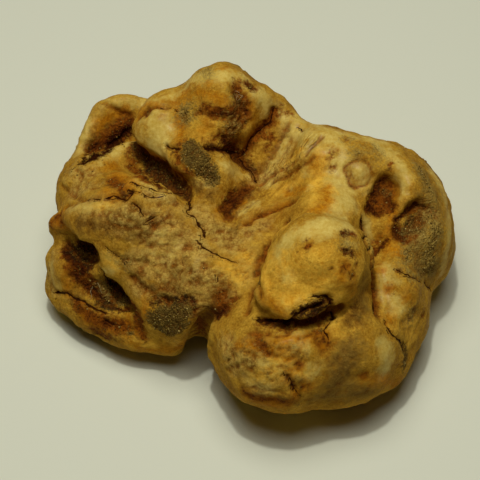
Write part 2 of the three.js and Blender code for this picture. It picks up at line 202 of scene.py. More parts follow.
RUST = {
    "fissure": [(238, 84, 4), (237, 95, 8), (242, 106, 9), (230, 113, 8), (214, 112, 6), (202, 107, 4)],
    "fissure low": [(246, 116, 5), (236, 125, 9), (230, 136, 9), (229, 146, 8), (238, 156, 6)],
    "fissure head": [(246, 83, 4), (255, 87, 4)],
    "patch rim": [(206, 142, 2), (214, 140, 3), (221, 132, 2)],
    "big patch rim": [(182, 140, 3), (177, 150, 4), (177, 162, 4), (190, 174, 3)],
    "small patch rim": [(196, 112, 2), (204, 110, 3)],
    "gorge rim": [(131, 148, 4), (132, 162, 5), (138, 174, 5), (148, 182, 3)],
    "gorge far rim": [(154, 160, 3), (168, 164, 4), (180, 175, 3), (190, 190, 2)],
    "elbow brown": [(112, 180, 5), (120, 186, 6), (122, 194, 4)],
    "notch": [(250, 187, 4), (242, 192, 6), (232, 200, 7), (226, 208, 6), (229, 218, 4)],
    # Painted shade on the valley's steep left wall, here and in the next run.
    "valley wall": [(276, 110, 3), (270, 122, 4), (262, 132, 5), (272, 140, 5), (268, 147, 4)],
    "valley wall low": [(258, 138, 4), (248, 150, 4), (240, 160, 5), (254, 170, 4), (256, 180, 2)],
    "valley head": [(280, 108, 2.5), (292, 114, 2.5)],
    "upper pit": [(386, 184, 5), (384, 196, 9), (376, 208, 9), (390, 206, 7)],
    "lower pit rim": [(398, 220, 4), (412, 208, 5), (426, 209, 5), (434, 217, 3)],
    "lower pit": [(398, 232, 8), (408, 238, 8), (416, 224, 9)],
    "under pit": [(380, 240, 4), (374, 250, 4), (373, 258, 3)],
    "arm bowl": [(88, 154, 4), (100, 144, 7), (112, 134, 9), (124, 126, 9), (132, 119, 4)],
    "cave": [(66, 250, 7), (72, 266, 9), (84, 278, 12), (98, 290, 10), (112, 298, 9)],
    "foot": [(76, 306, 5), (90, 316, 8), (106, 323, 8), (124, 328, 7)],
    "foot low": [(92, 330, 5), (108, 338, 4)],
    "foot middle": [(130, 306, 8), (138, 320, 7), (143, 336, 5)],
    "plateau stain": [(152, 218, 3), (154, 226, 3), (168, 218, 2)],
    "plateau lines": [(132, 204, 1.5), (143, 212, 1.5)],
    "plateau edge": [(160, 288, 1.5), (172, 292, 1.5)],
    "cleft pit": [(222, 294, 7), (224, 306, 10), (217, 314, 6), (232, 300, 6)],
    "cleft rim": [(194, 306, 4), (198, 318, 5), (202, 330, 5), (198, 340, 4)],
    "right valley": [(374, 304, 6), (376, 314, 4), (373, 288, 2)],
    "right valley high": [(372, 280, 1.5), (374, 260, 2)],
    "knob spot rim": [(345, 234, 2), (353, 233, 4)],
    "knob spot rim low": [(346, 250, 3), (356, 254, 3)],
    "belly spot": [(258, 340, 4), (264, 348, 5), (267, 354, 3)],
    "belly rim": [(244, 394, 4), (256, 400, 3), (270, 400, 2.5), (288, 404, 3)],
    "lip corner": [(322, 318, 4), (330, 306, 3), (326, 298, 2), (318, 332, 3), (327, 345, 3)],
    # Painted shade under the knob's lip.
    "under lip": [(262, 324, 3), (284, 328, 3), (304, 322, 4), (318, 316, 5)],
    "ridge side": [(390, 165, 2.5), (388, 176, 2)],
    "snout": [(48, 224, 4), (58, 216, 4)],
    "dots": [
        (146, 111, 5), (266, 176, 2.5), (288, 190, 1.5), (332, 156, 2), (333, 168, 2), (301, 248, 2),
        (186, 248, 3), (204, 265, 3), (126, 262, 3), (140, 272, 3), (178, 203, 2.5), (306, 246, 4.5),
        (346, 266, 4), (332, 268, 2), (352, 274, 3), (358, 264, 2), (300, 364, 3), (288, 378, 3),
        (294, 388, 3), (305, 388, 3), (233, 352, 2), (364, 376, 3), (398, 270, 2), (388, 290, 1.5),
        (414, 312, 4), (424, 316, 3), (410, 318, 3), (346, 138, 3), (160, 204, 2), (150, 246, 2),
        (196, 284, 2.5),
    ],
}

# The darkest stains, where the skin is broken, and painted shade where it is folded in, as in the gap
# under the knob's lip.
BURNT = {
    "fissure": [(237, 88, 1), (235, 97, 2), (241, 104, 1.5), (247, 112, 2)],
    "fissure side": [(236, 115, 1.5), (224, 113, 2), (213, 113, 1.5)],
    "fissure head": [(247, 84, 2.5), (253, 87, 2)],
    "fissure low": [(222, 138, 2.5), (228, 145, 5), (236, 152, 5), (243, 159, 3)],
    "under round": [(207, 147, 1.5), (216, 149, 3.5), (226, 149, 4)],
    "brow stain": [(166, 147, 1), (177, 149, 1.5)],
    "notch": [(249, 188, 2.5), (240, 194, 4.5), (232, 202, 7), (226, 209, 6), (229, 216, 3)],
    "arm slit": [(80, 162, 2), (92, 157, 5), (104, 150, 6), (116, 142, 5), (127, 132, 6), (133, 125, 3)],
    "gorge foot": [(140, 170, 2), (152, 180, 3), (166, 188, 3)],
    "elbow": [(124, 196, 2), (132, 193, 1.5)],
    "upper pit": [(384, 180, 2), (377, 188, 4), (374, 199, 5), (368, 209, 4), (378, 213, 4)],
    "upper pit side": [(388, 200, 3), (393, 210, 3)],
    "lower pit": [(398, 221, 3), (406, 213, 3), (414, 207, 3), (425, 207, 2)],
    "lower pit side": [(397, 230, 5), (404, 239, 4), (396, 236, 3)],
    "under pit": [(386, 240, 2), (374, 254, 2)],
    "cave": [(64, 248, 4), (72, 258, 7), (84, 266, 7), (76, 276, 6)],
    "cave low": [(84, 284, 4), (96, 293, 5), (106, 302, 4), (118, 309, 3), (132, 309, 3)],
    "foot": [(104, 322, 2.5), (114, 325, 2)],
    "foot low": [(96, 335, 2), (106, 340, 1.5)],
    "foot patch edge": [(148, 301, 2.5), (164, 298, 2.5), (182, 297, 2.5), (193, 302, 3), (194, 316, 2)],
    "plateau stain": [(150, 220, 2.5), (153, 226, 2.5)],
    "cleft pit": [(224, 311, 4.5), (213, 318, 3)],
    "right valley": [(374, 303, 3), (374, 309, 4)],
    "knob spot rim": [(344, 234, 2), (351, 231, 2.5)],
    "knob spot rim low": [(345, 250, 2), (354, 253, 2.5)],
    # Painted shade in the gap under the knob's lip.
    "under lip": [(262, 323, 1.5), (284, 324, 2.5), (304, 318, 3.5), (318, 314, 4), (328, 306, 2.5)],
    "belly crack": [(290, 382, 1.5), (294, 389, 1.5)],
    # Painted shade on the ledge inside the gap under the lip.
    "lip inside": [(298, 314, 6), (312, 309, 6), (324, 303, 5)],
    "arm bowl": [(86, 154, 3), (96, 147, 4.5), (108, 142, 4.5), (120, 134, 4), (130, 124, 4)],
    "dots": [(146, 111, 3), (398, 271, 1.5)],
}

SOIL = {
    "big patch": [(190, 146, 8), (194, 156, 13), (204, 166, 12), (212, 176, 8)],
    "foot patch": [(156, 322, 12), (168, 317, 14), (181, 311, 11), (166, 332, 8), (184, 325, 6)],
    "gorge": [(135, 142, 3), (139, 154, 4), (150, 166, 4)],
    "lower pit": [(414, 224, 7), (404, 234, 5)],
    "cave": [(84, 246, 9), (96, 250, 5)],
    "foot hollow": [(110, 280, 5), (121, 288, 9), (124, 300, 7)],
    "heel wedge": [(403, 346, 3), (406, 355, 4.5), (404, 365, 4)],
    "dots": [(212, 180, 5), (386, 192, 3.5), (130, 333, 3.5), (108, 304, 3)],
}

# Dark soil in the folds and hollows, and painted shade in the gap under the knob's lip.
DARK_SOIL_AND_SHADE = {
    "gorge": [(135, 140, 4), (139, 151, 6), (149, 163, 7), (162, 173, 9), (174, 184, 7), (187, 196, 4)],
    "gorge wall": [(145, 164, 5), (158, 176, 8), (172, 186, 6), (184, 194, 3)],
    "cave": [(68, 244, 4), (78, 254, 7), (90, 261, 6)],
    "cave high": [(80, 246, 5), (94, 244, 6)],
    "foot hollow": [(113, 283, 3), (121, 292, 4)],
    "foot hollow low": [(98, 304, 3), (114, 308, 3)],
    "valley foot": [(234, 157, 3), (244, 162, 2.5), (254, 171, 2.5)],
    # Painted shade under the knob's lip.
    "under the lip": [(262, 322, 1.5), (286, 322, 1.5), (300, 316, 2), (312, 311, 3), (322, 314, 2.5)],
    "foot patch top": [(152, 305, 3), (166, 302, 4), (184, 301, 4)],
}

# Fine pale grit that lies in a thin layer.
GRIT = {
    "small patch": [(190, 108, 5), (184, 112, 7), (184, 121, 4), (192, 116, 3)],
    "crown dot": [(207, 70, 3.5), (209, 75, 2)],
    "fissure": [(234, 98, 2.5), (238, 102, 1.5)],
    "fissure middle": [(230, 122, 4), (238, 124, 3)],
    "fissure low": [(233, 134, 2.5), (238, 140, 2.5)],
    "knob spot": [(344, 241, 1.5), (352, 247, 1.5)],
    "lower pit": [(412, 228, 6), (424, 232, 8), (418, 244, 6)],
    "flank": [(430, 216, 8), (436, 236, 10), (426, 256, 9), (434, 270, 8), (418, 270, 6)],
    "flank top": [(418, 166, 4), (426, 180, 6), (434, 198, 6)],
    "flank inner": [(408, 252, 6), (406, 266, 4), (414, 276, 4)],
    "heel side": [(414, 312, 4), (408, 320, 3)],
    "foot bit": [(102, 284, 4), (108, 294, 4)],
    "dots": [(357, 153, 4), (373, 150, 5), (379, 157, 4), (346, 137, 2), (127, 263, 2.5)],
}

# Olive dust, and painted shade on the belly's lower right and on the knob's right side.
DUST_AND_SHADE = {
    "flank": [(426, 172, 5), (436, 196, 6), (440, 222, 4), (438, 250, 4), (430, 276, 4)],
    "flank inner": [(424, 200, 8), (416, 270, 8), (436, 240, 8)],
    # Painted shade on the belly's lower right and the knob's right side, in the next three runs.
    "belly right": [(352, 336, 10), (346, 356, 14), (338, 382, 15), (330, 396, 10)],
    "belly low": [(352, 392, 12), (374, 394, 8), (318, 398, 6)],
    "knob right": [(364, 282, 5), (362, 304, 6), (358, 322, 6)],
    "dots": [(352, 360, 8)],
}

# Open cracks: across and down along each in the photograph's pixels, then half its width in
# millimetres.
CRACKS = {
    "zigzag": ([(189, 198), (190, 208), (188, 212), (195, 216), (199, 225), (203, 232), (205, 237)], 0.12),
    "zigzag low": ([(199, 243), (204, 248), (212, 251), (219, 254), (226, 258), (235, 262)], 0.12),
    "foot crack": ([(54, 293), (66, 294), (78, 299), (86, 303), (93, 308), (104, 312)], 0.2),
    "heel crack": ([(386, 324), (392, 333), (397, 339), (402, 345), (405, 352)], 0.14),
    "lip corner": ([(314, 297), (322, 297), (328, 299), (332, 302), (331, 312), (333, 319)], 0.2),
    "lip corner low": ([(333, 319), (327, 325), (325, 331), (328, 338)], 0.1),
    "lip edge": ([(258, 320), (268, 322), (286, 322), (296, 318), (306, 311), (322, 306)], 0.2),
    "belly crack": ([(284, 374), (291, 382), (295, 390), (301, 398)], 0.06),
    "strata": ([(133, 182), (145, 187), (157, 191), (170, 192), (180, 191)], 0.1),
    "strata low": ([(128, 190), (140, 193), (150, 197), (164, 196)], 0.07),
    "elbow edge": ([(106, 197), (113, 195), (119, 197), (126, 199), (132, 193)], 0.09),
    "plateau top": ([(84, 200), (92, 197), (98, 198)], 0.06),
    "plateau line": ([(134, 204), (139, 208), (143, 214)], 0.08),
    "plateau stain": ([(146, 222), (151, 219), (155, 217)], 0.08),
    "valley wall": ([(275, 110), (271, 122), (260, 133), (252, 144), (244, 156)], 0.1),
    "valley foot": ([(244, 160), (252, 170), (257, 180)], 0.09),
    "brow line": ([(150, 108), (158, 106), (168, 108), (176, 110)], 0.05),
    "thin hollow": ([(206, 147), (216, 148), (226, 149), (236, 152)], 0.22),
    "heel edge": ([(398, 270), (406, 274), (414, 278), (424, 282), (432, 291)], 0.09),
    "valley side": ([(361, 216), (364, 228), (368, 240), (371, 250)], 0.07),
    "brow stain": ([(166, 146), (172, 148), (178, 149)], 0.1),
    "foot low": ([(104, 322), (112, 325), (122, 325)], 0.1),
    "knob mark": ([(218, 277), (217, 280)], 0.08),
    "cave edge": ([(100, 270), (105, 276), (108, 281), (113, 284)], 0.14),
    "cave top": ([(104, 246), (112, 252), (120, 258), (126, 262)], 0.06),
    "slope hair": ([(298, 127), (303, 131)], 0.07),
    "arm slit": ([(82, 161), (94, 156), (106, 149), (118, 141), (129, 130)], 0.42),
}

# Soft creases: across and down along each, then half its width and its depth in millimetres.
CREASES = {
    "plateau edge": ([(132, 278), (142, 290), (155, 296), (166, 303)], 0.5, 0.5),
    "plateau rim": ([(66, 205), (84, 201), (100, 198), (126, 200)], 0.5, 0.3),
    "knob left": ([(287, 223), (277, 235), (267, 248), (259, 262), (256, 280), (259, 296)], 0.5, 0.6),
    "knob far left": ([(256, 280), (250, 296), (246, 312)], 0.5, 0.4),
    "right valley": ([(361, 222), (366, 240), (371, 256), (373, 280), (376, 300), (377, 312)], 0.4, 0.6),
    "belly fold": ([(250, 334), (262, 334), (276, 336), (290, 333)], 0.45, 0.4),
    "belly step": ([(300, 338), (312, 334), (318, 342), (322, 352)], 0.4, 0.4),
    "belly arc": ([(226, 371), (235, 366), (242, 366), (250, 371)], 0.3, 0.22),
    "belly flake": ([(246, 388), (258, 388), (270, 391), (284, 394)], 0.3, 0.18),
    "slope line one": ([(322, 137), (312, 147), (304, 158), (298, 166)], 0.3, 0.35),
    "slope line two": ([(314, 158), (300, 168), (286, 176), (274, 182)], 0.3, 0.35),
    "slope line three": ([(298, 160), (284, 170), (270, 176), (260, 184)], 0.3, 0.35),
    "slope line four": ([(288, 126), (282, 138), (272, 156), (262, 170)], 0.4, 0.3),
    "slope fold": ([(294, 200), (284, 205), (270, 211), (258, 216), (246, 224)], 0.4, 0.6),
    "valley wall": ([(275, 110), (271, 122), (260, 133), (252, 144), (244, 156)], 0.7, 0.6),
    "brow crease": ([(138, 118), (146, 108), (156, 106), (166, 108)], 0.35, 0.35),
    "crown line": ([(196, 112), (210, 117), (222, 120), (232, 120)], 0.4, 0.5),
    "arm line": ([(103, 103), (112, 108), (122, 113), (130, 116)], 0.35, 0.4),
    "arm side": ([(74, 166), (80, 174), (88, 184)], 0.35, 0.25),
    "left lobe line": ([(62, 186), (72, 194), (82, 199)], 0.35, 0.3),
}

# The round scar on the back ridge: its middle and radius in the photograph's pixels.
SCAR_AT = (359, 172)
SCAR_RADIUS = 13

# The slope whose skin runs in fibres: spots as above, and the direction of the fibres.
SLOPE = [(310, 140, 12), (280, 170, 16), (255, 205, 12)]
SLOPE_FIBRES = (-0.65, -0.76, -0.2)

# Fine hairs: where two of them start at each place, in the photograph's pixels.
HAIRS = {
    "cleft": [(207, 356), (206, 352), (208, 359)],
    "fissure": [(238, 99), (241, 95)],
    "cave": [(92, 288), (97, 284)],
}

# How each tone is painted where the photograph shows it: its areas, how soft and how ragged their
# rims are in millimetres, and the seed of the rims.
SHOWN = {
    "cream": (CREAM, 1.2, 0.5, 11),
    "tan": (TAN, 1.5, 0.6, 21),
    "gold": (GOLD, 1.4, 0.5, 35),
    "umber": (UMBER, 1.2, 0.6, 37),
    "orange": (ORANGE, 1.0, 0.4, 31),
    "rust": (RUST, 0.8, 0.35, 41),
    "soil": (SOIL, 0.7, 0.3, 51),
    "dark_soil_and_shade": (DARK_SOIL_AND_SHADE, 0.7, 0.25, 61),
    "dust_and_shade": (DUST_AND_SHADE, 1.6, 0.6, 71),
    "burnt": (BURNT, 0.6, 0.3, 91),
    "grit": (GRIT, 1.5, 0.6, 95),
}

# How each tone is painted on the hidden sides: the number of patches, their smallest and largest
# radius and their seed, then the softness, raggedness and seed of their rims.
HIDDEN = {
    "cream": (30, 1.5, 4.5, 12, 1.4, 1.3, 13),
    "tan": (24, 2, 5, 22, 1.5, 1.3, 23),
    "umber": (30, 1, 2.6, 38, 1.2, 0.9, 39),
    "gold": (20, 1.5, 4, 36, 1.4, 1.1, 40),
    "orange": (26, 0.6, 1.8, 32, 1.0, 0.4, 33),
    "rust": (40, 0.3, 1.1, 42, 0.8, 0.35, 43),
    "soil": (16, 0.5, 1.8, 52, 0.7, 0.3, 53),
    "dust_and_shade": (18, 2, 5, 72, 1.6, 0.6, 73),
    "burnt": (24, 0.2, 0.6, 92, 0.6, 0.3, 93),
    "grit": (14, 0.8, 2.4, 96, 1.0, 0.5, 97),
}

# The layers over the ochre skin, from the lowest to the highest: the widths of the tone's clouds
# and grain and of its rim's raggedness in millimetres, then how ragged and how sharp the rim is.
LAYERS = {
    "tan": (2.4, 0.34, 1.4, 2.0, 1.5),
    "cream": (3.0, 0.5, 1.6, 2.0, 1.4),
    "dust_and_shade": (2.0, 0.3, 1.2, 2.0, 1.2),
    "gold": (2.2, 0.4, 1.4, 1.8, 1.2),
    "umber": (1.2, 0.3, 0.9, 2.4, 1.2),
    "orange": (1.6, 0.4, 1.2, 2.2, 1.3),
    "rust": (1.0, 0.3, 0.8, 2.6, 1.6),
    "burnt": (0.8, 0.3, 0.6, 2.6, 1.8),
    "grit": (0.9, 0.26, 0.5, 2.6, 1.3),
    "soil": (1.2, 0.28, 0.5, 2.4, 2.0),
    "dark_soil_and_shade": (1.2, 0.3, 0.6, 2.2, 1.8),
}

# The pale and the deep colour of each tone, as red, green and blue from 0 to 255.
TONES = {
    "ochre": ((214, 166, 52), (162, 110, 22)),
    "cream": ((216, 190, 98), (194, 156, 58)),
    "tan": ((222, 180, 80), (150, 104, 32)),
    "gold": ((246, 196, 68), (218, 154, 38)),
    "umber": ((142, 100, 30), (98, 60, 14)),
    "orange": ((208, 142, 24), (168, 100, 10)),
    "rust": ((160, 90, 18), (68, 28, 4)),
    "burnt": ((86, 38, 8), (38, 13, 3)),
    "soil": ((134, 108, 46), (70, 49, 17)),
    "grit": ((176, 148, 70), (120, 90, 32)),
    "dark_soil_and_shade": ((70, 50, 22), (28, 16, 6)),
    "dust_and_shade": ((156, 120, 46), (112, 78, 24)),
    "crack": ((68, 28, 4), (44, 20, 4)),
    "hair": ((190, 176, 128), (150, 130, 80)),
}
TONE_CONTRAST = 4.2
GRAIN_TINTS = ((0, (70, 50, 18)), (0.5, (116, 90, 34)), (0.85, (150, 122, 52)), (1, (196, 172, 98)))
FLOOR_PALE = (214, 216, 192)
SKY_WARM = (255, 212, 140)

# Swellings all over the skin: their width and height in millimetres, how far cream evens them out,
# and their seed.
SWELLINGS = ((5, 0.34, 0.4, 101), (2.2, 0.2, 0.5, 102), (1.1, 0.1, 0.6, 103))

# Cracks, in millimetres: the width of the groove, and how far out its lips are and their width.
# The gaps from the cracks are kept up to a number of half widths.
CRACK_GROOVE = 0.35
CRACK_LIP_AT = 0.75
CRACK_LIP = 0.3
CRACK_FAR = 12
HIDDEN_CRACKS = 26
HIDDEN_CRACK_HALF_WIDTH = 0.1

GRAIN_COUNT = 4200
HAIR_RADIUS = 0.035
HAIR_SIDES = 5
HAIR_RINGS = 9


def sight_line(across, down):
    """The direction from the camera's eye through a pixel of the photograph."""
    half = PICTURE_PIXELS / 2
    scale = MM_PER_PIXEL / CAMERA_DISTANCE
    ray = camera_ahead + camera_right * (across - half) * scale + camera_up * (half - down) * scale
    return ray.normalized()


def on_skin(across, down):
    """The place on the bare body, in millimetres, that a pixel of the photograph shows."""
    ray = sight_line(across, down)
    place = body_tree.ray_cast(camera_eye, ray)[0]
    if place is None:
        place = body_tree.find_nearest(camera_eye + ray * CAMERA_DISTANCE)[0]
    return np.array(place)


def trace(spots):
    """Follows a run of (across, down, radius) spots over the skin: pairs of near places and radii."""
    step = 3
    walked = []
    for (u0, v0, r0), (u1, v1, r1) in zip(spots, spots[1:] or spots):
        steps = max(1, round(math.hypot(u1 - u0, v1 - v0) / step))
        for i in range(steps + 1):
            share = i / steps
            place = on_skin(u0 + (u1 - u0) * share, v0 + (v1 - v0) * share)
            walked.append((place, (r0 + (r1 - r0) * share) * MM_PER_PIXEL))
    pieces = []
    for (a, ra), (b, rb) in zip(walked, walked[1:]):
        near = np.linalg.norm(b - a) < 5 * step * MM_PER_PIXEL
        pieces.append((a, b, ra, rb) if near else (a, a, ra, ra))
    return pieces


def trace_line(path):
    """Follows a line of (across, down) places over the skin, with no radius."""
    return trace([(across, down, 0) for across, down in path])


def traced(areas):
    """Follows each run of an area over the skin, and each of its dots alone."""
    for name, spots in areas.items():
        for run in [[spot] for spot in spots] if name == "dots" else [spots]:
            yield trace(run)


def reach(pieces, far, outward=None):
    """How far each point is outside a traced run, in millimetres, and no more than far.

    With the directions out of the skin, it also tells on which side of the run each point lies.
    """
    ends = np.array([end for piece in pieces for end in piece[:2]])
    widest = max(max(piece[2:]) for piece in pieces)
    low = ends.min(axis=0) - widest - far
    high = ends.max(axis=0) + widest + far
    near = np.flatnonzero(((points > low) & (points < high)).all(axis=1))
    close = np.full(len(near), float(far))
    side = np.ones(len(near))
    p = points[near]
    for a, b, ra, rb in pieces:
        along = b - a
        share = np.clip((p - a) @ along / max(along @ along, 1e-9), 0, 1)
        beside = p - a - share[:, None] * along
        gap = np.linalg.norm(beside, axis=1) - (ra + (rb - ra) * share)
        if outward is not None:
            turn = (np.cross(along, beside) * outward[near]).sum(axis=1)
            side = np.where(gap < close, np.where(turn < 0, -1, 1), side)
        close = np.minimum(close, gap)
    out = np.full(len(points), float(far))
    out[near] = close
    if outward is None:
        return out
    sides = np.ones(len(points))
    sides[near] = side
    return out, sides


def smooth_noise(points, width, seed):
    """Soft unevenness between about -1 and 1; width is that of one swelling."""
    rng = np.random.default_rng(seed)
    slopes = rng.normal(size=(256, 3))
    slopes /= np.linalg.norm(slopes, axis=1)[:, None]
    shuffled = rng.permutation(256)
    p = points / width
    cell = np.floor(p).astype(int)
    inside = p - cell
    fade = inside ** 3 * (inside * (inside * 6 - 15) + 10)
    total = np.zeros(len(p))
    for corner in np.ndindex(2, 2, 2):
        x, y, z = (cell + corner).T
        slope = slopes[shuffled[(shuffled[(shuffled[x & 255] + y) & 255] + z) & 255]]
        weight = np.where(corner, fade, 1 - fade).prod(axis=1)
        total += weight * (slope * (inside - corner)).sum(axis=1)
    return total * 1.6


def crumbs(points, width, seed):
    """Rounded crumbs: 1 at the middle of each and 0 in the gaps between them."""
    rng = np.random.default_rng(seed)
    middles = rng.random((256, 3))
    shuffled = rng.permutation(256)
    p = points / width
    cell = np.floor(p).astype(int)
    nearest = np.full(len(p), 9.0)
    second = np.full(len(p), 9.0)
    for step in np.ndindex(3, 3, 3):
        x, y, z = (cell + step - 1).T
        pick = shuffled[(shuffled[(shuffled[x & 255] + y) & 255] + z) & 255]
        gap = np.linalg.norm(cell + step - 1 + middles[pick] - p, axis=1)
        second = np.minimum(second, np.maximum(nearest, gap))
        nearest = np.minimum(nearest, gap)
    return np.clip((second - nearest) * 2.2, 0, 1)


def streaks(points, along, width, length, seed):
    """Unevenness drawn out along one direction, as in fibres."""
    along = np.array(along) / np.linalg.norm(along)
    squeezed = points + np.outer(points @ along, along) * (width / length - 1)
    return smooth_noise(squeezed, width, seed)


def cover(gap, soft):
    """1 well inside an area, 0 well outside, and one half on its rim."""
    return np.clip(0.5 - gap / (2 * soft), 0, 1)


class Skin:
    """The truffle's skin as arrays, in millimetres: places, four-sided faces and edges."""

    def __init__(self, mesh):
        self.places = np.empty(len(mesh.vertices) * 3)
        mesh.vertices.foreach_get("co", self.places)
        self.places = self.places.reshape(-1, 3)
        corners = np.empty(len(mesh.loops), dtype=np.int32)
        mesh.loops.foreach_get("vertex_index", corners)
        self.quads = corners.reshape(-1, 4)
        edges = np.empty(len(mesh.edges) * 2, dtype=np.int32)
        mesh.edges.foreach_get("vertices", edges)
        self.edges = edges.reshape(-1, 2)

    def spread(self, values):
        """Each place's mean of its neighbours' values."""
        a, b = self.edges.T
        size = len(self.places)
        count = np.bincount(a, minlength=size) + np.bincount(b, minlength=size)
        columns = values.reshape(size, -1).T
        sums = [np.bincount(a, column[b], size) + np.bincount(b, column[a], size) for column in columns]
        return (np.array(sums) / count).T.reshape(values.shape)

    def smoothed(self, values, rounds):
        for _ in range(rounds):
            values = (values + self.spread(values)) / 2
        return values

    def outward(self):
        """The direction straight out of the skin at each place."""
        a, b, c, d = (self.places[self.quads[:, i]] for i in range(4))
        across = np.cross(c - a, d - b)
        normal = np.zeros_like(self.places)
        for i in range(4):
            for axis in range(3):
                normal[:, axis] += np.bincount(self.quads[:, i], across[:, axis], len(normal))
        return normal / np.maximum(np.linalg.norm(normal, axis=1), 1e-12)[:, None]


def body_in_millimetres():
    """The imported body's mesh, copied and made a thousand times larger."""
    source = bpy.data.objects["truffle"]
    mesh = source.data.copy()
    mesh.transform(Matrix.Scale(1 / MM, 4) @ source.matrix_world)
    return mesh


def fine_skin(body):
    """The body drawn again with small even facets."""
    body_object = bpy.data.objects.new("bare_body", body)
    bpy.context.scene.collection.objects.link(body_object)
    remesh = body_object.modifiers.new("even facets", "REMESH")
    remesh.mode = "VOXEL"
    remesh.voxel_size = SKIN_FACET
    depsgraph = bpy.context.evaluated_depsgraph_get()
    mesh = bpy.data.meshes.new_from_object(body_object.evaluated_get(depsgraph))
    skin = Skin(mesh)
    bpy.data.objects.remove(body_object)
    bpy.data.meshes.remove(mesh)
    skin.places = skin.smoothed(skin.places, SMOOTHING_ROUNDS)
    return skin


def paint(runs, soft, ragged, seed):
    """How far each point belongs to any of the runs, from 0 to 1, with a ragged rim."""
    far = soft + 3 * ragged + 0.1
    gap = np.full(len(points), far)
    for run in runs:
        gap = np.minimum(gap, reach(run, far))
    wobble = smooth_noise(points, 2.2, seed) + 0.6 * smooth_noise(points, 0.9, seed + 1)
    return np.where(gap < far, cover(gap + ragged * wobble, soft), 0)


def scatter(count, smallest, largest, seed):
    """Round patches on the sides that the photograph doesn't show, as runs."""
    rng = np.random.default_rng(seed)
    places = points[rng.choice(np.flatnonzero(hidden), count, replace=False)]
    sizes = rng.uniform(smallest, largest, count)
    runs = []
    for place, size in zip(places, sizes):
        beside = place + rng.normal(size=3) * size * 0.8
        runs.append([(place, beside, size, size * rng.uniform(0.4, 0.9))])
    return runs


def hidden_cracks(count, seed):
    """Wandering cracks on the hidden sides, each a run of short straight lengths."""
    rng = np.random.default_rng(seed)
    starts = rng.choice(np.flatnonzero(hidden), count, replace=False)
    runs = []
    for start in starts:
        place = points[start]
        heading = np.cross(outward[start], rng.normal(size=3))
        run = []
        for _ in range(rng.integers(6, 16)):
            heading = heading / np.linalg.norm(heading) + 0.6 * rng.normal(size=3)
            ahead = place + heading / np.linalg.norm(heading) * 0.8
            ahead = np.array(body_tree.find_nearest(Vector(ahead))[0])
            run.append((place, ahead, 0.0, 0.0))
            place = ahead
        runs.append(run)
    return runs


body = body_in_millimetres()
body_tree = BVHTree.FromPolygons(
    [vertex.co.copy() for vertex in body.vertices], [tuple(face.vertices) for face in body.polygons]
)
skin = fine_skin(body)
outward = skin.outward()
points = skin.places

# How deep each place lies between its surroundings: above 0 in hollows, below 0 on ridges.
broad = skin.smoothed(points, SURROUNDINGS_ROUNDS)
hollow = ((broad - points) * outward).sum(axis=1)

# The sides that the photograph doesn't show.
toward_camera = outward @ np.array(-camera_ahead)
hidden = (toward_camera < 0.05) & (points[:, 2] > 0.4)
unseen = np.clip((0.3 - toward_camera) / 0.4, 0, 1)

# How far each place belongs to each tone, from 0 to 1.
painted = {}
for name, (areas, soft, rim, seed) in SHOWN.items():
    painted[name] = paint(traced(areas), soft, rim, seed)
for name, (count, smallest, largest, seed, soft, rim, rim_seed) in HIDDEN.items():
    patches = paint(scatter(count, smallest, largest, seed), soft, rim, rim_seed)
    painted[name] = np.maximum(painted[name], patches * unseen)
# The dust-and-shade tone also spreads over the bottom, more the lower, below 9 millimetres.
painted["dust_and_shade"] = np.maximum(painted["dust_and_shade"], np.clip((9 - points[:, 2]) / 9, 0, 1) * 0.3)

# The deep folds on every side take the dark soil-and-shade tone, more where they lie deeper.
in_fold = np.clip((hollow - 0.55) / 0.5, 0, 1) * (hidden | (points[:, 2] < 12))
painted["dark_soil_and_shade"] = np.maximum(painted["dark_soil_and_shade"], in_fold * 0.9)

cream, tan, rust, burnt = (painted[name] for name in ("cream", "tan", "rust", "burnt"))
soil, grit, dark_soil_and_shade = (painted[name] for name in ("soil", "grit", "dark_soil_and_shade"))

# The relief, in millimetres along the way out of the skin.
plain = 1 - np.maximum(soil, dark_soil_and_shade)
broken = np.maximum(rust, burnt)
relief = np.zeros(len(points))
for width, height, evened, seed in SWELLINGS:
    relief += height * smooth_noise(points, width, seed) * (1 - evened * cream)
fibres = streaks(points, (1, -0.25, 0), 0.9, 4.5, 104) + 0.6 * streaks(points, (1, 0.1, 0), 0.6, 3, 105)
on_slope = cover(reach(trace(SLOPE), 4), 1.5)
relief += 0.2 * tan * plain * fibres * (1 - on_slope)
relief += 0.26 * on_slope * streaks(points, SLOPE_FIBRES, 0.9, 6, 106) * plain
relief += 0.1 * tan * plain * (crumbs(points * (1, 1, 0.6), 2.4, 107) - 0.5)
level = 2.4 * (smooth_noise(points, 5, 117) + 0.35 * smooth_noise(points, 1.6, 119))
ledge = np.floor(level) + np.clip((level % 1 - 0.82) / 0.18, 0, 1)
relief += 0.2 * (0.15 + 0.85 * tan) * plain * (1 - cream) * ledge
pits = np.clip(-smooth_noise(points, 1.4, 118) - 0.3, 0, 0.5) * 2
relief -= 0.4 * (0.2 + 0.8 * tan) * plain * (1 - cream) * pits
relief += 0.08 * (0.4 + tan) * plain * (crumbs(points, 1.3, 115) - 0.5)
relief -= broken * 0.2 * (1 + smooth_noise(points, 0.8, 108))
relief -= 0.2 * burnt * plain
relief += broken * plain * 0.3 * (crumbs(points, 0.9, 109) - 0.5)
relief += soil * (0.2 * crumbs(points, 0.75, 110) - 0.2)
relief += grit * plain * 0.14 * crumbs(points, 0.7, 116)
relief += dark_soil_and_shade * (0.2 * crumbs(points, 0.8, 111) - 0.75)

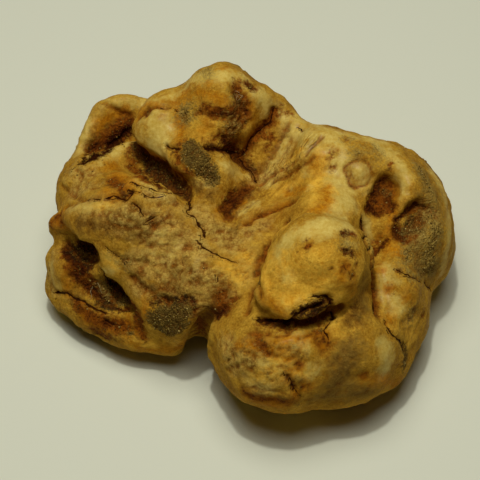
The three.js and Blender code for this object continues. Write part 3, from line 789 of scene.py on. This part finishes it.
# How far each place is from the middle of the nearest crack, in the crack's half widths, and the
# same with a sign that tells the two sides of the crack apart.
crack_gap = np.full(len(points), float(CRACK_FAR))
crack_side = np.full(len(points), float(CRACK_FAR))
wander = 0.22 * smooth_noise(points, 1.3, 112) + 0.1 * smooth_noise(points, 0.6, 114)
crack_runs = [(trace_line(path), half_width) for path, half_width in CRACKS.values()]
crack_runs += [(run, HIDDEN_CRACK_HALF_WIDTH) for run in hidden_cracks(HIDDEN_CRACKS, 81)]
for run, half_width in crack_runs:
    gap, side = reach(run, 2.5, outward)
    aside = gap * side + np.where(gap < 2, wander, 0)
    relief -= (0.12 + 1.1 * half_width) * np.exp(-((aside / CRACK_GROOVE) ** 2))
    relief += 0.07 * np.exp(-(((np.abs(aside) - CRACK_LIP_AT) / CRACK_LIP) ** 2))
    aside = np.clip(aside / half_width, -CRACK_FAR, CRACK_FAR)
    nearer = np.abs(aside) < crack_gap
    crack_side = np.where(nearer, aside, crack_side)
    crack_gap = np.where(nearer, np.abs(aside), crack_gap)

# Painted shade along the grooves of the creases, which darkens the skin's colour.
painted_crease_shade = np.zeros(len(points))
for path, half_width, depth in CREASES.values():
    gap = reach(trace_line(path), 3) + 1.5 * wander
    groove = np.exp(-np.clip(gap, 0, None) ** 2 / (2 * half_width ** 2))
    lips = np.exp(-((gap - 2.6 * half_width) ** 2) / (2 * half_width ** 2))
    relief += 0.15 * depth * lips - depth * groove
    painted_crease_shade = np.maximum(painted_crease_shade, groove * depth)

scar_gap = np.linalg.norm(points - on_skin(*SCAR_AT), axis=1) + 0.5 * smooth_noise(points, 2, 113)
scar_radius = SCAR_RADIUS * MM_PER_PIXEL
scar = np.exp(-((scar_gap - scar_radius) ** 2) / (2 * 0.3 ** 2))
scar_inner = np.exp(-((scar_gap - 0.62 * scar_radius) ** 2) / (2 * 0.22 ** 2))
relief -= 0.34 * scar + 0.2 * scar_inner
relief += 0.34 * np.exp(-((scar_gap / (0.8 * scar_radius)) ** 2))
# Painted shade in the scar's grooves as well.
painted_crease_shade = np.maximum(painted_crease_shade, 0.5 * scar + 0.35 * scar_inner)

# Nothing moves where the truffle rests.
relief *= np.clip(points[:, 2] / 0.8, 0, 1)
skin.places = points + outward * relief[:, None]
skin.places[:, 2] = np.maximum(skin.places[:, 2], 0)
fine = skin.smoothed(skin.places, FINE_ROUNDS)
crease = ((fine - skin.places) * skin.outward()).sum(axis=1)


def new_piece(name, places, faces, material):
    """A piece of the scene from places in millimetres and faces, smooth shaded."""
    mesh = bpy.data.meshes.new(name)
    mesh.from_pydata((np.asarray(places) * MM).tolist(), [], faces)
    mesh.shade_smooth()
    mesh.materials.append(material)
    piece = bpy.data.objects.new(name, mesh)
    bpy.context.scene.collection.objects.link(piece)
    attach(piece, "root")
    return piece


def keep(piece, name, values):
    """Keeps a number for each place of the piece, which its material reads by name."""
    kept = piece.data.attributes.new(name, "FLOAT", "POINT")
    kept.data.foreach_set("value", np.ascontiguousarray(values, dtype=np.float32))


def shade(colour):
    """A colour from 0 to 255, as the light values that a shader works with."""
    return tuple(
        (c / 255 / 12.92 if c / 255 <= 0.04045 else ((c / 255 + 0.055) / 1.055) ** 2.4) for c in colour
    ) + (1,)


def give(tree, value, socket):
    """Links a socket to another node's output, or sets it to a plain value."""
    if isinstance(value, bpy.types.NodeSocket):
        tree.links.new(value, socket)
    else:
        socket.default_value = value


def add(tree, kind, inputs=None, **settings):
    """A new node with its settings, and with its inputs given by name."""
    node = tree.nodes.new(kind)
    for name, value in settings.items():
        setattr(node, name, value)
    for name, value in (inputs or {}).items():
        give(tree, value, node.inputs[name])
    return node


def math_node(tree, operation, first, second, clamped=False):
    node = add(tree, "ShaderNodeMath", operation=operation, use_clamp=clamped)
    give(tree, first, node.inputs[0])
    give(tree, second, node.inputs[1])
    return node.outputs[0]


def times(tree, first, second, clamped=False):
    return math_node(tree, "MULTIPLY", first, second, clamped)


def plus(tree, first, second, clamped=False):
    return math_node(tree, "ADD", first, second, clamped)


def minus(tree, first, second, clamped=False):
    return math_node(tree, "SUBTRACT", first, second, clamped)


def larger(tree, first, second):
    return math_node(tree, "MAXIMUM", first, second)


def object_place(tree):
    return add(tree, "ShaderNodeTexCoord").outputs["Object"]


def noise_texture(tree, width, detail, roughness):
    """A noise whose swellings are about width millimetres wide; width is a number or an output."""
    if isinstance(width, bpy.types.NodeSocket):
        scale = math_node(tree, "DIVIDE", 1 / MM, width)
    else:
        scale = 1 / (width * MM)
    values = {"Vector": object_place(tree), "Scale": scale, "Detail": detail, "Roughness": roughness}
    return add(tree, "ShaderNodeTexNoise", values).outputs["Fac"]


def fibre_texture(tree, along, width, length):
    """A noise drawn out along one direction; width and length are in millimetres."""
    angles = Vector((1, 0, 0)).rotation_difference(Vector(along)).to_euler()
    drawn_out = {"Vector": object_place(tree), "Rotation": angles, "Scale": (length / width, 1, 1)}
    place = add(tree, "ShaderNodeMapping", drawn_out, vector_type="TEXTURE").outputs["Vector"]
    values = {"Vector": place, "Scale": 1 / (width * MM), "Detail": 3}
    return add(tree, "ShaderNodeTexNoise", values).outputs["Fac"]


def layer(tree, below, above, mask):
    """One colour over another, as far as the mask says."""
    values = {"Factor": mask, "A": below, "B": above}
    return add(tree, "ShaderNodeMix", values, data_type="RGBA").outputs["Result"]


def new_group(name, inputs, output, output_kind):
    """A shader node group with named inputs and one named output, and its two end nodes."""
    group = bpy.data.node_groups.new(name, "ShaderNodeTree")
    for socket, value in inputs.items():
        kind = "NodeSocketColor" if isinstance(value, tuple) else "NodeSocketFloat"
        made = group.interface.new_socket(name=socket, in_out="INPUT", socket_type=kind)
        made.default_value = value
    group.interface.new_socket(name=output, in_out="OUTPUT", socket_type=output_kind)
    return group, add(group, "NodeGroupInput"), add(group, "NodeGroupOutput")


def two_tone_group():
    """Mottles two tones together: broad clouds with finer grain on them."""
    usual = {"Pale": (1, 1, 1, 1), "Deep": (0, 0, 0, 1), "Cloud Width": 3, "Grain Width": 0.6}
    group, given, result = new_group("two_tone", usual, "Color", "NodeSocketColor")
    clouds = noise_texture(group, given.outputs["Cloud Width"], 4, 0.66)
    grain = noise_texture(group, given.outputs["Grain Width"], 4, 0.66)
    mixed = minus(group, plus(group, times(group, clouds, 0.42), times(group, grain, 0.58)), 0.5)
    mask = plus(group, times(group, mixed, TONE_CONTRAST), 0.5, clamped=True)
    colour = layer(group, given.outputs["Deep"], given.outputs["Pale"], mask)
    give(group, colour, result.inputs["Color"])
    return group


def ragged_group():
    """Turns a soft cover into one with a ragged rim."""
    usual = {"Cover": 0, "Width": 0.8, "Raggedness": 0.6, "Sharpness": 3}
    group, given, result = new_group("ragged_rim", usual, "Mask", "NodeSocketFloat")
    noise = noise_texture(group, given.outputs["Width"], 4, 0.65)
    wobble = times(group, minus(group, noise, 0.5), given.outputs["Raggedness"])
    inside = math_node(group, "GREATER_THAN", given.outputs["Cover"], 0.002)
    wobble = times(group, wobble, inside)
    raised = minus(group, plus(group, given.outputs["Cover"], wobble), 0.5)
    mask = plus(group, times(group, raised, given.outputs["Sharpness"]), 0.5, clamped=True)
    give(group, times(group, mask, inside), result.inputs["Mask"])
    return group


two_tone = two_tone_group()
ragged_rim = ragged_group()


def toned(tree, tone, cloud, grain):
    """A tone's two colours mottled together; the widths of clouds and grain are in millimetres."""
    pale, deep = TONES[tone]
    values = {"Pale": shade(pale), "Deep": shade(deep), "Cloud Width": cloud, "Grain Width": grain}
    return add(tree, "ShaderNodeGroup", values, node_tree=two_tone).outputs["Color"]


def ragged(tree, covered, width, raggedness, sharpness):
    values = {"Cover": covered, "Width": width, "Raggedness": raggedness, "Sharpness": sharpness}
    return add(tree, "ShaderNodeGroup", values, node_tree=ragged_rim).outputs["Mask"]


def kept_value(tree, name):
    return add(tree, "ShaderNodeAttribute", attribute_name=name).outputs["Fac"]


def new_material(name, roughness):
    material = bpy.data.materials.new(name)
    material.use_nodes = True
    surface = material.node_tree.nodes["Principled BSDF"]
    surface.inputs["Roughness"].default_value = roughness
    surface.inputs["Specular IOR Level"].default_value = 0.03
    return material, material.node_tree, surface.inputs


def skin_material():
    """The skin: ochre, tone layers, fibres, chips, cracks, painted shade in creases and pits, painted
    ridge highlights.
    """
    material, tree, surface = new_material("truffle_skin_fine", 0.62)
    colour = toned(tree, "ochre", 3.2, 0.36)
    for tone, (cloud, grain, width, raggedness, sharpness) in LAYERS.items():
        mask = ragged(tree, kept_value(tree, tone), width, raggedness, sharpness)
        colour = layer(tree, colour, toned(tree, tone, cloud, grain), mask)
    brown = toned(tree, "rust", 1.5, 0.3)
    pale = toned(tree, "cream", 1.5, 0.3)
    # Painted shade in the creases and hollows, and painted highlights on the ridges.
    colour = layer(tree, colour, brown, times(tree, kept_value(tree, "crease"), 0.7, clamped=True))
    colour = layer(tree, colour, pale, times(tree, kept_value(tree, "ridge"), 0.4))

    fibres = fibre_texture(tree, SLOPE_FIBRES, 0.3, 3)
    fibrous = kept_value(tree, "fibrous")
    # Painted shade in the grooves between the fibres, where the bump is low.
    fibre_dip = times(tree, minus(tree, 0.44, fibres), 4, clamped=True)
    colour = layer(tree, colour, brown, times(tree, fibre_dip, fibrous))

    wrinkle = noise_texture(tree, 0.6, 7, 0.78)
    mottle = noise_texture(tree, 1.2, 6, 0.75)
    rugged = plus(tree, times(tree, kept_value(tree, "cream"), -0.7), 1, clamped=True)
    pit_share = times(tree, plus(tree, times(tree, kept_value(tree, "tan"), 0.2), 0.22), rugged)
    # Brown in the dips: where the wrinkles dip it is painted shade in the bump's hollows, where the mottle
    # dips it is the skin's own colour.
    for unevenness, depth in ((wrinkle, 0.45), (mottle, 0.43)):
        dip = times(tree, minus(tree, depth, unevenness), 8, clamped=True)
        colour = layer(tree, colour, brown, times(tree, dip, pit_share))
    half_tan = times(tree, kept_value(tree, "tan"), 0.5)
    chip = times(tree, minus(tree, noise_texture(tree, 0.8, 6, 0.75), 0.56), 9, clamped=True)
    colour = layer(tree, colour, pale, times(tree, chip, half_tan))

    beside = math_node(tree, "ABSOLUTE", kept_value(tree, "crack_side"), 0)
    beside = larger(tree, beside, minus(tree, kept_value(tree, "crack_gap"), 4))
    narrowing = plus(tree, times(tree, noise_texture(tree, 0.9, 3, 0.6), 5), -1.4)
    beside = times(tree, beside, larger(tree, narrowing, 0.35))
    lip = math_node(tree, "ABSOLUTE", minus(tree, beside, 2.6), 0)
    lip = times(tree, minus(tree, 1, lip, clamped=True), half_tan)
    colour = layer(tree, colour, pale, lip)
    # The cracks are dark: their own brown and the shade painted into them.
    crack_mask = times(tree, minus(tree, 1.1, beside), 2, clamped=True)
    colour = layer(tree, colour, toned(tree, "crack", 1.0, 0.3), times(tree, crack_mask, 0.95))
    give(tree, colour, surface["Base Color"])

    gritty = kept_value(tree, "soil")
    for tone in ("dark_soil_and_shade", "grit", "burnt"):
        gritty = larger(tree, gritty, kept_value(tree, tone))
    crumb = add(tree, "ShaderNodeTexVoronoi", {"Vector": object_place(tree), "Scale": 1 / (0.36 * MM)})
    crumb_height = times(tree, times(tree, crumb.outputs["Distance"], -1), gritty)
    height = plus(tree, times(tree, wrinkle, rugged), crumb_height)
    height = plus(tree, height, times(tree, times(tree, fibres, fibrous), 1.2))
    height = minus(tree, height, crack_mask)
    bump = add(tree, "ShaderNodeBump", {"Strength": 0.9, "Distance": 0.55 * MM, "Height": height})
    give(tree, bump.outputs["Normal"], surface["Normal"])

    stained = larger(tree, gritty, kept_value(tree, "rust"))
    glossy = times(tree, kept_value(tree, "cream"), 0.16)
    glossy = minus(tree, glossy, times(tree, stained, 0.3), clamped=True)
    give(tree, glossy, surface["Coat Weight"])
    surface["Coat Roughness"].default_value = 0.32
    rough = times(tree, noise_texture(tree, 2, 3, 0.6), 0.3)
    give(tree, plus(tree, rough, 0.5, clamped=True), surface["Roughness"])
    return material


truffle_skin = new_piece("truffle_skin_fine", skin.places, skin.quads.tolist(), skin_material())
marks = {
    "fibrous": np.clip(on_slope + 0.25 * tan, 0, 1) * plain,
    "crack_gap": crack_gap,
    "crack_side": crack_side,
    # Painted shade in creases and hollows, and painted highlights on ridges.
    "crease": np.clip(crease / 0.1, 0, 1) * 0.8 + np.clip((hollow - 0.25) / 1.2, 0, 0.5) + painted_crease_shade,
    "ridge": np.clip(-crease / 0.1, 0, 1) * plain * (1 - broken) * (0.3 + 0.7 * tan),
}
for name, values in (painted | marks).items():
    keep(truffle_skin, name, values)
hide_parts("truffle")


def grain_material():
    material, tree, surface = new_material("soil_grain", 0.75)
    ramp = add(tree, "ShaderNodeValToRGB", {"Fac": kept_value(tree, "tint")})
    for place, colour in GRAIN_TINTS[1:-1]:
        ramp.color_ramp.elements.new(place)
    for element, (place, colour) in zip(ramp.color_ramp.elements, GRAIN_TINTS):
        element.position = place
        element.color = shade(colour)
    give(tree, ramp.outputs["Color"], surface["Base Color"])
    return material


def twenty_faces():
    """The corners and triangles of a regular solid with twenty faces and a radius of 1."""
    golden = (1 + math.sqrt(5)) / 2
    shape = [(0, a, b * golden) for a in (-1, 1) for b in (-1, 1)]
    shape = np.array(shape + [(y, z, x) for x, y, z in shape] + [(z, x, y) for x, y, z in shape], float)
    shape /= np.linalg.norm(shape, axis=1)[:, None]
    side = min(np.linalg.norm(shape[0] - other) for other in shape[1:])
    near = [[np.linalg.norm(a - b) < side * 1.1 and a is not b for b in shape] for a in shape]
    triangles = []
    for i in range(12):
        for j in range(i + 1, 12):
            for k in range(j + 1, 12):
                if near[i][j] and near[j][k] and near[i][k]:
                    turn = np.dot(np.cross(shape[j] - shape[i], shape[k] - shape[i]), shape[i]) > 0
                    triangles.append((i, j, k) if turn else (i, k, j))
    return shape, triangles


def soil_grains():
    """Loose grains of soil and sand that lie in the soil patches and folds."""
    rng = np.random.default_rng(301)
    wanted = np.maximum(np.maximum(soil, 0.7 * grit), 0.55 * dark_soil_and_shade) > 0.5
    few = (rust > 0.6) & (rng.random(len(points)) < 0.12)
    candidates = np.flatnonzero((wanted | few) & (points[:, 2] > 1))
    picked = rng.choice(candidates, GRAIN_COUNT)
    shape, triangles = twenty_faces()
    normals = skin.outward()
    places = []
    faces = []
    tints = []
    for number, spot in enumerate(picked):
        size = rng.uniform(0.06, 0.1) * rng.choice((0.8, 1, 1.4))
        uneven = shape * rng.uniform(0.65, 1.25, (12, 1)) * size * rng.uniform(0.7, 1.3, 3)
        shift = rng.normal(size=3) * 0.09
        shift -= normals[spot] * np.dot(shift, normals[spot])
        places.append(uneven + skin.places[spot] + normals[spot] * size * 0.05 + shift)
        faces += [tuple(12 * number + corner for corner in triangle) for triangle in triangles]
        # Grains are darker where the dark soil-and-shade tone lies.
        tints += [rng.random() ** 1.3 * (0.75 if dark_soil_and_shade[spot] > 0.5 else 1)] * 12
    grains = new_piece("soil_grains", np.concatenate(places), faces, grain_material())
    keep(grains, "tint", tints)


def hair_material():
    material, tree, surface = new_material("fine_hair", 0.6)
    give(tree, toned(tree, "hair", 1.5, 0.4), surface["Base Color"])
    return material


def fine_hairs():
    """Thin curled hairs, each a tapered tube that starts on the bare body and bends over."""
    rng = np.random.default_rng(401)
    sides = HAIR_SIDES
    places = []
    faces = []
    starts = [start for spots in HAIRS.values() for start in spots for _ in range(2)]
    for u, v in starts:
        place = on_skin(u + rng.uniform(-2, 2), v + rng.uniform(-2, 2))
        heading = rng.normal(size=3) + (0, -0.6, 0.9)
        heading /= np.linalg.norm(heading)
        length = rng.uniform(0.9, 2.2) / HAIR_RINGS
        first = len(places)
        for ring in range(HAIR_RINGS):
            radius = HAIR_RADIUS * (1 - 0.7 * ring / HAIR_RINGS)
            aside = np.cross(heading, (0.3, 0.5, 0.8))
            aside /= np.linalg.norm(aside)
            over = np.cross(heading, aside)
            for side in range(sides):
                turn = 2 * math.pi * side / sides
                places.append(place + radius * (math.cos(turn) * aside + math.sin(turn) * over))
            heading = heading + 0.35 * rng.normal(size=3)
            heading /= np.linalg.norm(heading)
            place = place + heading * length
        last = first + (HAIR_RINGS - 1) * sides
        for ring_start in range(first, last, sides):
            for side in range(sides):
                a = ring_start + side
                b = ring_start + (side + 1) % sides
                faces.append((a, b, b + sides, a + sides))
        faces.append(tuple(first + side for side in reversed(range(sides))))
        faces.append(tuple(last + side for side in range(sides)))
    new_piece("fine_hairs", np.array(places), faces, hair_material())


soil_grains()
fine_hairs()

# A small lamp and a broad one hang above the truffle. Where each hangs and its radius, in
# millimetres, and its power in watts.
LAMPS = {
    "small lamp": (Vector((-20, 2, 430)), 11, 2.2),
    "broad lamp": (Vector((-15, 10, 430)), 140, 4.3),
}
LAMPS_AIM = Vector((-9, 7, 0))
LAMP_CONE = 100
SKY_STRENGTH = 0.04

# Half the width of the floor, in metres.
FLOOR_REACH = 1.5


def pale_floor():
    far = FLOOR_REACH
    floor_mesh = bpy.data.meshes.new("floor")
    corners = [(-far, -far, 0), (far, -far, 0), (far, far, 0), (-far, far, 0)]
    floor_mesh.from_pydata(corners, [], [(0, 1, 2, 3)])
    floor = bpy.data.objects.new("floor", floor_mesh)
    bpy.context.scene.collection.objects.link(floor)
    material, tree, surface = new_material("floor_pale", 0.9)
    surface["Base Color"].default_value = shade(FLOOR_PALE)
    floor_mesh.materials.append(material)


def studio_light():
    for name, (place, radius, power) in LAMPS.items():
        lamp_data = bpy.data.lights.new(name, "SPOT")
        lamp_data.energy = power
        lamp_data.shadow_soft_size = radius * MM
        lamp_data.spot_size = math.radians(LAMP_CONE)
        lamp_data.spot_blend = 1
        lamp = bpy.data.objects.new(name, lamp_data)
        lamp.location = place * MM
        lamp.rotation_euler = (LAMPS_AIM - place).to_track_quat("-Z", "Y").to_euler()
        bpy.context.scene.collection.objects.link(lamp)
    sky = bpy.data.worlds.new("studio")
    sky.use_nodes = True
    sky.node_tree.nodes["Background"].inputs["Color"].default_value = shade(SKY_WARM)
    sky.node_tree.nodes["Background"].inputs["Strength"].default_value = SKY_STRENGTH
    bpy.context.scene.world = sky


def photo_camera():
    camera_data = bpy.data.cameras.new("camera")
    camera_data.sensor_width = SENSOR_WIDTH
    camera_data.lens = SENSOR_WIDTH * CAMERA_DISTANCE / PICTURE_WIDTH
    camera_data.clip_start = 0.01
    camera_data.clip_end = 20
    camera = bpy.data.objects.new("camera", camera_data)
    camera.location = camera_eye * MM
    camera.rotation_euler = camera_ahead.to_track_quat("-Z", "Y").to_euler()
    bpy.context.scene.collection.objects.link(camera)
    bpy.context.scene.camera = camera


pale_floor()
studio_light()
photo_camera()
bpy.context.scene.view_settings.view_transform = "Standard"
